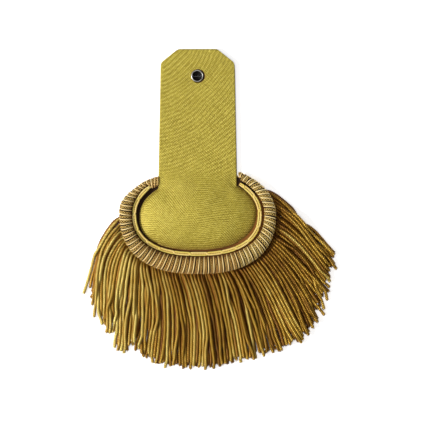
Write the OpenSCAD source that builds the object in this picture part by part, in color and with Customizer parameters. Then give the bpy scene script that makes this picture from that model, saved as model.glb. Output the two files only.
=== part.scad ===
// Fringed shoulder epaulette, lying face up on a flat surface.
// Millimetres. The origin is on the eyelet's axis, at the surface it lies on.
// +Y points to the strap's free end, +X to the right as seen from above, +Z up.

/* [Strap] */
// Width of the strap at its free end
strap_end_w = 55.4; // [52:0.2:57]
// Width of the strap where it meets the oval pad
strap_neck_w = 58.8; // [57:0.2:60]
// Distance from the eyelet's axis to the strap's free end
strap_end_y = 20.25; // [17:0.05:26]
// Width that each cut corner takes off the free end
corner_x = 13; // [8:0.5:18]
// Length that each cut corner takes along the strap's edge
corner_y = 10.3; // [7:0.1:13]
// Height of the strap's upper face above the surface it lies on
strap_top = 4.1; // [3.6:0.1:4.2]
// Radius of the strap's folded upper edges
edge_r = 0.8; // [0.3:0.1:1.1]

/* [Pad] */
// Half width of the oval pad, across the shoulder edge
pad_a = 43.75; // [42:0.25:44]
// Half length of the oval pad, on the strap's side
pad_b = 26.5; // [25:0.25:27.5]
// Half length of the oval pad, on the fringe's side
pad_bl = 27.2; // [26:0.1:27.6]
// Distance from the eyelet's axis back to the pad's centre
pad_back = 103.15; // [98:0.05:112]
// Height of the pad's steep rim above its sewn margin
pad_rim_h = 3.1; // [2:0.1:4]
// Extra height of the padding at the pad's centre
pad_dome_h = 4.3; // [2:0.1:5]
// Upper face of the thin margin that the cord and the roll are sewn on
margin_top = 2.6; // [2.2:0.1:2.6]

/* [Eyelet] */
// Radius of the eyelet's hole
eyelet_r = 3.6; // [2.5:0.1:3.8]
// Wall of the eyelet's barrel
eyelet_wall = 0.4; // [0.3:0.05:0.5]
// Radius of the rolled bead's section
bead_r = 0.5; // [0.4:0.05:0.7]

/* [Edge cord] */
// Thickness of the edge cord
cord_d = 3.1; // [2.4:0.1:3.1]
// Height of the welt that lifts the edge cord off the margin
cord_rise = 1.7; // [0:0.1:2]
// Half width of the oval that the cord's middle follows
cord_a = 47; // [46.9:0.1:47.1]
// Half length of that oval
cord_b = 30.3; // [30.2:0.05:30.4]

/* [Bullion roll] */
// Half width of the roll's outer outline
roll_out_a = 58.6; // [56:0.1:60]
// Half length of the roll's outer outline, on the strap's side
roll_out_bu = 33.8; // [33.4:0.1:34.2]
// Extra half length at the roll's right end, which is the fuller one
roll_end_extra = 3.4; // [0:0.1:3.8]
// Half length of the roll's outer outline, on the fringe's side
roll_out_bl = 45.3; // [43:0.1:48]
// Half width of the roll's inner outline
roll_in_a = 49.6; // [49.5:0.1:49.9]
// Half length of the roll's inner outline
roll_in_b = 32.3; // [32.3:0.1:32.6]
// Height of the roll's section as a share of its width
roll_flat = 0.84; // [0.7:0.02:1]
// Underside of the roll above the surface
roll_z = 2.8; // [2.8:0.05:3.2]

/* [Fringe] */
// Length of the fringe as a share of the length in the photograph
fringe_len = 1; // [0.7:0.05:1.2]
// Height of the layered cords just outside the roll
fringe_h = 6.8; // [6:0.1:9]
// Height of the cut ends
tip_h = 2.6; // [1.5:0.1:3.5]

/* [Lining] */
// Thickness of the lining
lining_t = 1.0; // [0.8:0.1:1]
// Length of the slit that a button's shank passes through
slit_l = 6.6; // [4:0.2:7]
// Width of that slit
slit_w = 0.9; // [0.5:0.1:1.5]

/* [Hidden] */

gap = 0.1;                 // gap kept between neighbouring pieces
board_z = lining_t + gap;  // underside of the base board
cloth_low = margin_top + gap; // underside of the strap's cloth and padding
low_n = 2.42;              // squareness of the ovals on the fringe's side
strap_x = 0.3;             // the strap's middle line
pad_x = 0.6;               // the pad's middle
pad_lean = 0.085;          // how far the pad's middle moves to the right, per mm up the strap
ramp_l = 9;                // how far up the strap the padding runs out
cord_x = -0.1;             // the edge cord's middle
ring_x = 0.6;              // the middle of roll and margin
fringe_x = 0.6;            // the line that the fringe's rows are measured from
cy = -pad_back;            // the middle of every oval

// ---- ovals: true ellipses on the strap's side, squarer on the fringe's side
function sgn(v) = v < 0 ? -1 : 1;
function pw(v, e) = sgn(v) * pow(abs(v), e);
function oval(t, a, bu, bl, n) =
    sin(t) >= 0 ? [a * cos(t), bu * sin(t)]
                : [a * pw(cos(t), 2 / n), bl * pw(sin(t), 2 / n)];
// how far out a point lies: 0 in the middle, 1 on the outline
function level(x, y, a, bu, bl, n) =
    y >= 0 ? sqrt(pow(x / a, 2) + pow(y / bu, 2))
           : pow(pow(abs(x) / a, n) + pow(-y / bl, n), 1 / n);
function half_w(dy, a, b, n) =
    abs(dy) >= b ? 0 : a * pow(1 - pow(abs(dy) / b, n), 1 / n);
function lerp(a, b, k) = a + (b - a) * k;
function clamp01(v) = min(1, max(0, v));
function ease(v) = let (c = clamp01(v)) c * c * (3 - 2 * c);
// the larger of two heights, with the crease between them rounded off
function soft_max(a, b, k) = (a + b + sqrt((a - b) * (a - b) + k * k)) / 2;

// ---- a closed solid through rings of equally many points
module loft(rings) {
    m = len(rings[0]);
    n = len(rings);
    polyhedron(
        points = [for (r = rings) each r],
        faces = concat(
            [[for (k = [m - 1:-1:0]) k]],
            [for (i = [0:n - 2], k = [0:m - 1])
                let (q = (k + 1) % m)
                [i * m + k, i * m + q, (i + 1) * m + q, (i + 1) * m + k]],
            [[for (k = [0:m - 1]) (n - 1) * m + k]]
        ),
        convexity = 6
    );
}

// ---- strap: outline as half widths along Y
end_half = strap_end_w / 2;
neck_half = strap_neck_w / 2;
neck_y = cy + 23;
top_half = end_half - corner_x;
function strap_half(y) =
    lerp(neck_half, end_half, clamp01((y - neck_y) / (strap_end_y - corner_y - neck_y)));

// rows down the free end: distance from the end, half width, upper face below strap_top
END = [
    [0,               top_half - 0.9,                     0.8],
    [0.4,             top_half + 0.7,                     0.3],
    [1.5,             top_half + 1.5 * corner_x / corner_y, 0],
    [corner_y - 1.6,  end_half - 1.6 * corner_x / corner_y, 0],
    [corner_y - 0.2,  end_half - 0.6,                     0],
    [corner_y + 1.8,  end_half,                           0]
];
function pad_half(y) =
    half_w(y - cy, pad_a, y >= cy ? pad_b : pad_bl, y >= cy ? 2 : low_n);
function pad_mid(y) = pad_x + pad_lean * (y - cy);

// upper face of the cloth, strap and pad together
function pad_z(x, y) =
    let (s = min(1, level(x - pad_mid(y), y - cy, pad_a, pad_b, pad_bl, low_n)))
    margin_top - 0.2 + pad_rim_h * sqrt(1 - pow(s, 8))
    + pad_dome_h * pow(1 - s * s, 1.2);
// padding that runs out under the strap, and its share: all of it along the strap's
// middle, none at its sides or over the pad's lower half
pad_top = margin_top - 0.2 + pad_rim_h + pad_dome_h;
function ramp_z(x, y) =
    let (s = min(1, sqrt(pow((x - pad_x) / pad_a, 2) + pow((y - cy) / (pad_b + ramp_l), 2))))
    strap_top + (pad_top - strap_top) * pow(1 - s * s, 2);
function ramp_share(x, y) =
    ease((y - cy - 2) / 14) * ease((strap_half(y) - abs(x - strap_x)) / 8);
function strap_z(x, y) =
    let (e = strap_half(y) - abs(x - strap_x),
         d = e >= edge_r ? 0 : edge_r - sqrt(max(0, edge_r * edge_r - pow(edge_r - max(e, 0), 2))))
    strap_top - d;
function cloth_z(x, y) =
    abs(x - strap_x) > strap_half(y) + 0.01 ? pad_z(x, y)
    : y > cy + pad_b + ramp_l ? strap_z(x, y)
    : soft_max(strap_z(x, y), lerp(pad_z(x, y), ramp_z(x, y), ramp_share(x, y)),
               0.5 * ease((cy + pad_b + ramp_l - y) / 12) + 0.01);

across = 13;               // steps from the middle to each edge
// from lower corner to lower corner: no other point is in line with either
function cloth_ring(y, left, right, low) =
    let (c = (left + right) / 2, w = (right - left) / 2, zb = cloth_low)
    concat(
        [[c - w, y, zb]],
        [for (i = [-across:across])
            let (x = c + w * sin(90 * i / across))
            [x, y, max(zb + 0.3, cloth_z(x, y) - low)]],
        [[c + w, y, zb]]
    );

pad_steps = 28;
module cloth() {
    loft(concat(
        [for (r = END) cloth_ring(strap_end_y - r[0], strap_x - r[1], strap_x + r[1], r[2])],
        [for (k = [0:4])
            let (y = lerp(strap_end_y - corner_y - 6, cy + pad_b + ramp_l + 1, k / 4))
            cloth_ring(y, strap_x - strap_half(y), strap_x + strap_half(y), 0)],
        [for (k = [6.5:-2:0.5])
            let (y = cy + pad_b + k)
            cloth_ring(y, strap_x - strap_half(y), strap_x + strap_half(y), 0)],
        [for (j = [0:pad_steps])
            let (q = sin(90 - (j + 0.5) * 179 / (pad_steps + 0.5)),
                 y = cy + q * (q > 0 ? pad_b : pad_bl), h = max(pad_half(y), 1.2),
                 sh = q > 0 ? strap_half(y) : 0)
            cloth_ring(y, min(strap_x - sh, pad_mid(y) - h), max(strap_x + sh, pad_mid(y) + h), 0)]
    ));
}

// ---- base board and lining: the strap's outline with the oval under cord and roll
margin_a = (roll_out_a + roll_in_a) / 2 - 0.3;
margin_bu = (roll_out_bu + roll_in_b) / 2 - 0.3;
margin_bl = (roll_out_bl + roll_in_b) / 2 - 0.3;
module base_slab(inset, h) {
    union() {
        linear_extrude(h)
        polygon(concat(
            [for (i = [1:len(END) - 1])
                [strap_x + END[i][1] - inset, strap_end_y - END[i][0] - inset * (i < 3 ? 1 : 0)]],
            [[strap_x + neck_half - inset, neck_y], [strap_x + neck_half - inset, cy],
             [strap_x - neck_half + inset, cy], [strap_x - neck_half + inset, neck_y]],
            [for (i = [len(END) - 1:-1:1])
                [strap_x - END[i][1] + inset, strap_end_y - END[i][0] - inset * (i < 3 ? 1 : 0)]]
        ));
        linear_extrude(h)
        polygon([for (k = [0:71])
            let (p = oval(k * 5, margin_a, margin_bu, margin_bl, low_n))
            [ring_x + p[0], cy + p[1]]]);
    }
}

module strap() {
    color([0.70, 0.64, 0.29])
    difference() {
        cloth();
        // hole for the eyelet's barrel
        translate([0, 0, -1])
        cylinder(h = 12, r = eyelet_r + eyelet_wall + gap, $fn = 64);
    }
}

// the stiff board under strap, pad, cord and roll
module base() {
    color([0.16, 0.11, 0.06])
    difference() {
        translate([0, 0, board_z]) base_slab(0.35, margin_top - board_z);
        // hole for the eyelet's barrel, with a recess for its lower flange
        translate([0, 0, -1])
        cylinder(h = 12, r = eyelet_r + eyelet_wall + gap, $fn = 64);
        translate([0, 0, -1])
        cylinder(h = 1 + board_z + 0.65, r = flange_r + 0.2, $fn = 64);
    }
}

// ---- eyelet: barrel with a rolled bead above and a flat flange below
flange_r = eyelet_r + eyelet_wall + 0.9;
bead_z = strap_top + 0.25;
module eyelet() {
    barrel = eyelet_r + eyelet_wall;
    bead_x = eyelet_r + bead_r;
    color([0.72, 0.72, 0.70])
    rotate_extrude($fn = 96)
    polygon(concat(
        [[eyelet_r, board_z + 0.1]],
        [for (a = [180:-15:0]) [bead_x + bead_r * cos(a), bead_z + bead_r * sin(a)]],
        [[bead_x + bead_r, strap_top + 0.06], [barrel, strap_top + 0.06],
         [barrel, board_z + 0.5], [flange_r, board_z + 0.5], [flange_r, board_z + 0.1]]
    ));
}

module lining() {
    color([0.06, 0.055, 0.05])
    difference() {
        base_slab(0.7, lining_t);
        // slit under the eyelet, for the button's shank
        translate([-(slit_l - slit_w) / 2, -slit_w / 2, -1])
        cube([slit_l - slit_w, slit_w, lining_t + 2]);
        for (s = [-1, 1])
            translate([s * (slit_l - slit_w) / 2, 0, -1])
            cylinder(h = lining_t + 2, d = slit_w, $fn = 32);
    }
}

// ---- edge cord: one round tube on its welt, from strap side to strap side
cord_z = margin_top + gap + cord_rise + cord_d / 2;
cord_rings = 78;
cord_sides = 10;
cord_from = 141;            // degrees round the oval, at the strap's left side
cord_to = 407;             // at its right side
function cord_at(t) =
    let (p = oval(t, cord_a, cord_b, cord_b, low_n)) [cord_x + p[0], cy + p[1]];
module edge_cord() {
    color([0.80, 0.70, 0.30])
    loft([for (i = [0:cord_rings - 1])
        let (t = lerp(cord_from, cord_to, i / (cord_rings - 1)),
             p = cord_at(t), q = cord_at(t + 0.5) - cord_at(t - 0.5),
             u = [q[1], -q[0]] / norm(q))
        [for (k = [0:cord_sides - 1])
            let (a = 360 * k / cord_sides + 18, r = cord_d / 2)
            [p[0] + u[0] * r * cos(a), p[1] + u[1] * r * cos(a),
             cord_z + r * sin(a) - (sin(a) < 0 ? cord_rise : 0)]]]);
}

// ---- bullion roll: flattened round section between its two outlines
roll_half_turn = 148.6;    // half the angle that the outer outline covers
roll_rings = 73;
roll_sides = 20;
// extra half length that swells the right end
function right_extra(t) = roll_end_extra * ease((t - 372) / 16);
// the left end's outer outline draws in a little, and its inner one closes over
// the end of the edge cord
function left_less(t) = 0.8 * ease((136 - t) / 14);
function left_fill(t) = 6.7 * ease((136 - t) / 9);
// the inner end stops earlier than the outer one, clear of the strap
function inner_lag(t) =
    let (d = abs(t - 270) - 105) d <= 0 ? 0 : sgn(270 - t) * 7.2 * pow(d / 43.6, 2);
function roll_out(t) =
    let (p = oval(t, roll_out_a, roll_out_bu + right_extra(t) - left_less(t), roll_out_bl, low_n))
    [ring_x + p[0], cy + p[1]];
function roll_in(t) =
    let (p = oval(t + inner_lag(t), roll_in_a, roll_in_b - left_fill(t), roll_in_b, low_n))
    [ring_x + p[0], cy + p[1]];
// rows at each rounded end: share of the way along, share of the section
ROLL_END = [
    [0.000, 0.45],
    [0.004, 0.72],
    [0.010, 0.90],
    [0.020, 1.00]
];
function roll_share(u) = let (e = min(u, 1 - u)) lookup(e, ROLL_END);
roll_at = concat(
    [for (r = ROLL_END) r[0]],
    [for (i = [2:roll_rings - 9]) lerp(0.02, 0.98, (i - 1) / (roll_rings - 9))],
    [for (i = [len(ROLL_END) - 1:-1:0]) 1 - ROLL_END[i][0]]
);
module bullion_roll() {
    color([0.62, 0.50, 0.30])
    loft([for (u = roll_at)
        let (t = 270 + roll_half_turn * (2 * u - 1),
             o = roll_out(t), i = roll_in(t), c = (o + i) / 2, w = (o - i) / 2,
             h = norm(w) * roll_flat, s = roll_share(u))
        [for (k = [0:roll_sides - 1])
            let (a = 360 * k / roll_sides)
            [c[0] + w[0] * s * cos(a), c[1] + w[1] * s * cos(a), roll_z + h + h * s * sin(a)]]]);
}

// ---- fringe: the outer form of the layered cords, a section for each row
root_a = margin_a + 0.5;
root_bu = margin_bu + 0.5;
root_bl = margin_bl + 0.5;
// columns: degrees round the roll where the row's cords start, then a point halfway
// along its longest cord, then that cord's cut end. Both points are measured from
// fringe_x in X and from the ovals' middle in Y
FRINGE = [
    [183, -76.5,  -27.0,   -85.2,   -63.5],
    [192, -70.0,  -37.5,   -79.8,   -77.0],
    [203, -64.0,  -46.5,   -72.3,   -85.5],
    [213, -57.5,  -54.5,   -65.0,   -96.0],
    [222, -52.5,  -61.0,   -58.5,  -104.0],
    [231, -46.0,  -65.0,   -50.5,  -105.5],
    [240, -36.5,  -69.0,   -41.0,  -109.0],
    [248, -27.0,  -71.5,   -30.0,  -114.0],
    [256, -17.0,  -73.0,   -19.5,  -116.0],
    [264,  -7.5,  -74.5,    -8.5,  -116.5],
    [272,   3.0,  -74.5,     4.0,  -117.1],
    [280,  13.5,  -74.5,    16.0,  -116.0],
    [288,  25.0,  -73.0,    28.5,  -113.0],
    [296,  35.0,  -70.5,    40.0,  -111.0],
    [304,  45.0,  -67.0,    51.0,  -107.0],
    [312,  53.0,  -62.5,    62.0,  -103.0],
    [320,  60.0,  -58.0,    72.0,  -100.0],
    [328,  66.5,  -52.5,    82.0,   -94.0],
    [337,  72.5,  -45.0,    90.0,   -84.5],
    [347,  77.0,  -37.0,    97.0,   -75.0],
    [357,  80.0,  -28.0,    99.5,   -65.0],
    [367,  81.0,  -20.5,   100.5,   -55.0],
    [376,  80.5,  -14.5,   102.0,   -45.0],
    [385,  79.5,   -9.5,   104.0,   -40.0],
    [396,  76.5,   -3.5,   103.8,   -32.3]
];
// columns: share of the way from root to cut end, height as a share of fringe_h
PROFILE = [
    [0.00, 0.50], [0.03, 0.70], [0.06, 0.85], [0.09, 0.93], [0.12, 0.97],
    [0.16, 1.00], [0.21, 1.00], [0.28, 0.96], [0.38, 0.88], [0.52, 0.76],
    [0.68, 0.64], [0.84, 0.52], [0.96, 0.42], [1.00, 0.32]
];
// share of the way out under the roll: 0 below its middle, 1 at its outer edge
function under_roll(x, y) =
    let (g = norm([x, y]), u = [x, y] / g,
         r0 = 1 / level(u[0], u[1], root_a, root_bu, root_bl, low_n),
         r1 = 1 / level(u[0], u[1], roll_out_a + 0.1, roll_out_bu + (x > 0 ? roll_end_extra : 0), roll_out_bl + 0.1, low_n))
    (g - r0) / (r1 - r0);
// the height that the roll leaves free there
function room(q) =
    q < 0.8 ? 2.3 + 1.0 * pow(max(q, 0) / 0.8, 2)
    : q < 1.25 ? lerp(3.3, 6.0, (q - 0.8) / 0.45)
    : 6.0 + (q - 1.25) * 4;
function cord_path(r, m, e, s) =
    r * (1 - s) * (1 - 2 * s) + m * 4 * s * (1 - s) + e * s * (2 * s - 1);
function fringe_ring(row) =
    let (o = oval(row[0], root_a, root_bu, root_bl, low_n),
         r = [ring_x + o[0], cy + o[1]],
         m = r + ([row[1] + fringe_x, row[2] + cy] - r) * fringe_len,
         e = r + ([row[3] + fringe_x, row[4] + cy] - r) * fringe_len,
         xy = [for (p = PROFILE) cord_path(r, m, e, p[0])],
         z = [for (i = [0:len(PROFILE) - 1])
             max(1.2, min(PROFILE[i][1] * fringe_h + (tip_h - 0.32 * fringe_h) * ease((PROFILE[i][0] - 0.5) * 2),
                 room(under_roll(xy[i][0] - ring_x, xy[i][1] - cy))))])
    concat(
        [for (i = [0:len(PROFILE) - 1]) [xy[i][0], xy[i][1], z[i]]],
        [for (i = [len(PROFILE) - 1:-1:0]) [xy[i][0], xy[i][1], 0]]
    );
// the two outer sections are closed by upright strips between top and foot
module fringe() {
    rings = [for (row = FRINGE) fringe_ring(row)];
    m = len(rings[0]);
    n = len(rings);
    h = len(PROFILE);
    color([0.55, 0.43, 0.16])
    polyhedron(
        points = [for (r = rings) each r],
        faces = concat(
            [for (k = [0:h - 2]) [k, k + 1, m - 2 - k, m - 1 - k]],
            [for (i = [0:n - 2], k = [0:m - 1])
                let (q = (k + 1) % m)
                [i * m + k, (i + 1) * m + k, (i + 1) * m + q, i * m + q]],
            [for (k = [0:h - 2])
                let (b = (n - 1) * m) [b + k + 1, b + k, b + m - 1 - k, b + m - 2 - k]]
        ),
        convexity = 6
    );
}

lining();
base();
strap();
eyelet();
edge_cord();
bullion_roll();
fringe();
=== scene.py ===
import math

import bpy
import numpy as np
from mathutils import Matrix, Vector


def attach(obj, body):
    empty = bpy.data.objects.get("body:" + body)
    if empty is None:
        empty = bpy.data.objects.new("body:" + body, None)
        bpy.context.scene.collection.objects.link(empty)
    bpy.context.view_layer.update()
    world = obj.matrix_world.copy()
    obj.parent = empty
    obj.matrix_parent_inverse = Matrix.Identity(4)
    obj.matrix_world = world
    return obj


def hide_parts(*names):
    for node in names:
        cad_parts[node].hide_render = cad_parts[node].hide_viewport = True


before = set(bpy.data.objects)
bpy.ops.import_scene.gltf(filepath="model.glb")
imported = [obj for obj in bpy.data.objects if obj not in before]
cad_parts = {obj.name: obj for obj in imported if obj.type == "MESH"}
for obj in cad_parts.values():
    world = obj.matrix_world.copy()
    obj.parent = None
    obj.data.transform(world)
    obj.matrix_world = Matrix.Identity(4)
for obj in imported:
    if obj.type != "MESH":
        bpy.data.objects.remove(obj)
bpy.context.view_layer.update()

MM = 0.001
RNG = np.random.default_rng(11)

# ------------------------------------------------------------------ sizes, in mm
# The same named sizes as the construction has.
CY, RX, CX, PX, SX, FX = -103.15, 0.6, -0.1, 0.6, 0.3, 0.6
LOW_N = 2.42
PAD_A, PAD_B, PAD_BL, PAD_RIM, PAD_DOME = 43.75, 26.5, 27.2, 3.1, 4.3
PAD_LEAN, RAMP_L = 0.085, 9.0
MARGIN_TOP, BOARD_Z, LINING_T = 2.6, 1.1, 1.0
END_HALF, NECK_HALF, END_Y, CORNER_X, CORNER_Y = 27.7, 29.4, 20.25, 13.0, 10.3
STRAP_TOP, EDGE_R = 4.1, 0.8
NECK_Y = CY + 23
CORD_D, CORD_A, CORD_B, CORD_RISE = 3.1, 47.0, 30.3, 1.7
CORD_FROM, CORD_TO = 141.0, 407.0
OUT_A, OUT_BU, OUT_BL, IN_A, IN_B = 58.6, 33.8, 45.3, 49.6, 32.3
END_EXTRA, ROLL_FLAT, ROLL_Z, HALF_TURN = 3.4, 0.84, 2.8, 148.6
MARGIN_A = (OUT_A + IN_A) / 2 - 0.3
MARGIN_BU = (OUT_BU + IN_B) / 2 - 0.3
MARGIN_BL = (OUT_BL + IN_B) / 2 - 0.3
EYELET_R = 3.6


def ease(v):
    c = np.clip(v, 0, 1)
    return c * c * (3 - 2 * c)


def oval(t, a, bu, bl, n=LOW_N):
    """A point of an oval: an ellipse on the strap's side, squarer on the fringe's."""
    t = np.radians(np.asarray(t, float))
    c, s = np.cos(t), np.sin(t)
    x = np.where(s >= 0, a * c, a * np.sign(c) * np.abs(c) ** (2 / n))
    y = np.where(s >= 0, bu * s, bl * np.sign(s) * np.abs(s) ** (2 / n))
    return np.stack([x, y], -1)


def level(x, y, a, bu, bl, n=LOW_N):
    """How far out a point is: 0 in the middle of the oval, 1 on its outline."""
    up = np.sqrt((x / a) ** 2 + (y / bu) ** 2)
    low = ((np.abs(x) / a) ** n + (np.abs(y) / bl) ** n) ** (1 / n)
    return np.where(y >= 0, up, low)


# ------------------------------------------------------------------ meshes
class Shape:
    """Collects tubes, grids and caps into one mesh, with UVs in mm along and a tint."""

    def __init__(self):
        self.v, self.q, self.t, self.uq, self.ut, self.tint, self.groove, self.n = [], [], [], [], [], [], [], 0

    def points(self, p, tint=0.0, groove=0.0):
        p = np.asarray(p, float).reshape(-1, 3)
        start = self.n
        self.v.append(p)
        for values, given in ((self.tint, tint), (self.groove, groove)):
            values.append(np.broadcast_to(np.asarray(given, float).reshape(-1), (len(p),)))
        self.n += len(p)
        return start

    def grid(self, idx, u, w, closed=False):
        """Quads over a table of point numbers (rows along, columns round)."""
        a, b = idx[:-1], idx[1:]
        if closed:
            a1, b1 = np.roll(a, -1, 1), np.roll(b, -1, 1)
        else:
            a, a1, b, b1 = a[:, :-1], a[:, 1:], b[:, :-1], b[:, 1:]
        self.q.append(np.stack([a, a1, b1, b], -1).reshape(-1, 4))
        m, k = a.shape
        u0 = np.broadcast_to(np.arange(k) / k * u, (m, k))
        u1 = u0 + u / k
        w0 = np.broadcast_to(w[:-1, None], (m, k))
        w1 = np.broadcast_to(w[1:, None], (m, k))
        self.uq.append(
            np.stack([np.stack([u0, w0], -1), np.stack([u1, w0], -1), np.stack([u1, w1], -1), np.stack([u0, w1], -1)], -2).reshape(-1, 4, 2)
        )

    def fan(self, ring, middle, flip=False):
        r, s = ring, np.roll(ring, -1)
        c = np.full(len(ring), middle)
        tri = np.stack([c, s, r] if flip else [c, r, s], -1)
        self.t.append(tri)
        self.ut.append(np.zeros((len(tri), 3, 2)))

    def tube(self, rings, along, tint=0.0, caps=True, groove=0.0):
        m, k, _ = rings.shape
        start = self.points(rings, np.broadcast_to(tint, (m, k)), np.broadcast_to(groove, (m, k)))
        idx = start + np.arange(m * k).reshape(m, k)
        self.grid(idx, 1.0, np.asarray(along, float), closed=True)
        if caps:
            self.fan(idx[0], self.points(rings[0].mean(0), np.mean(tint)), flip=True)
            self.fan(idx[-1], self.points(rings[-1].mean(0), np.mean(tint)))

    def build(self, name, mat, nodes=()):
        v = np.concatenate(self.v) * MM
        q = np.concatenate(self.q) if self.q else np.zeros((0, 4), int)
        t = np.concatenate(self.t) if self.t else np.zeros((0, 3), int)
        uv = np.concatenate([np.concatenate(self.uq).reshape(-1, 2) if self.uq else np.zeros((0, 2)),
                             np.concatenate(self.ut).reshape(-1, 2) if self.ut else np.zeros((0, 2))])
        me = bpy.data.meshes.new(name)
        me.vertices.add(len(v))
        me.vertices.foreach_set("co", v.astype(np.float32).ravel())
        me.loops.add(q.size + t.size)
        me.loops.foreach_set("vertex_index", np.concatenate([q.ravel(), t.ravel()]).astype(np.int32))
        me.polygons.add(len(q) + len(t))
        me.polygons.foreach_set(
            "loop_start", np.concatenate([np.arange(len(q)) * 4, q.size + np.arange(len(t)) * 3]).astype(np.int32)
        )
        me.polygons.foreach_set("use_smooth", np.ones(len(q) + len(t), bool))
        me.update(calc_edges=True)
        layer = me.uv_layers.new(name="lay")
        layer.data.foreach_set("uv", uv.astype(np.float32).ravel())
        att = me.attributes.new("tint", "FLOAT", "POINT")
        att.data.foreach_set("value", np.concatenate(self.tint).astype(np.float32))
        att = me.attributes.new("groove", "FLOAT", "POINT")
        att.data.foreach_set("value", np.concatenate(self.groove).astype(np.float32))
        me.materials.append(mat)
        me.validate()
        o = bpy.data.objects.new(name, me)
        bpy.context.scene.collection.objects.link(o)
        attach(o, "root")
        if nodes:
            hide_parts(*nodes)
        return o


def unit(v):
    return v / np.maximum(np.linalg.norm(v, axis=-1, keepdims=True), 1e-9)


def frames(path, ref=None):
    """Directions along a flat path, to its right and down."""
    t = unit(np.gradient(path, axis=0))
    if ref is None:
        side = unit(np.cross(t, [0.0, 0.0, 1.0]))
    else:
        side = unit(ref - t * np.sum(ref * t, -1, keepdims=True))
    return t, side, np.cross(t, side)


def length_along(path):
    return np.concatenate([[0], np.cumsum(np.linalg.norm(np.diff(path, axis=0), axis=1))])


def catmull(points, at):
    """A smooth curve through points, at parameters from 0 to len(points) - 1."""
    p = np.concatenate([[2 * points[0] - points[1]], points, [2 * points[-1] - points[-2]]])
    i = np.clip(np.floor(at).astype(int), 0, len(points) - 2)
    f = (at - i)[:, None]
    a, b, c, d = p[i], p[i + 1], p[i + 2], p[i + 3]
    return 0.5 * (2 * b + (c - a) * f + (2 * a - 5 * b + 4 * c - d) * f**2 + (3 * b - a - 3 * c + d) * f**3)


def even(points, n, fine=24):
    """The smooth curve through points again, as n points at even distances."""
    c = catmull(points, np.linspace(0, len(points) - 1, (len(points) - 1) * fine + 1))
    s = length_along(c)
    at = np.linspace(0, s[-1], n)
    return np.stack([np.interp(at, s, c[:, k]) for k in range(c.shape[1])], -1)


def tube_rings(path, radius, sides, phase=0.0, profile=None, ref=None):
    _, side, up = frames(path, ref)
    ang = np.arange(sides) * 2 * np.pi / sides
    a = ang[None, :] + np.asarray(phase, float).reshape(-1, 1)
    r = np.asarray(radius, float).reshape(-1, 1) * (np.ones(sides) if profile is None else profile)
    return path[:, None] + side[:, None] * (r * np.cos(a))[..., None] + up[:, None] * (r * np.sin(a))[..., None]


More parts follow.
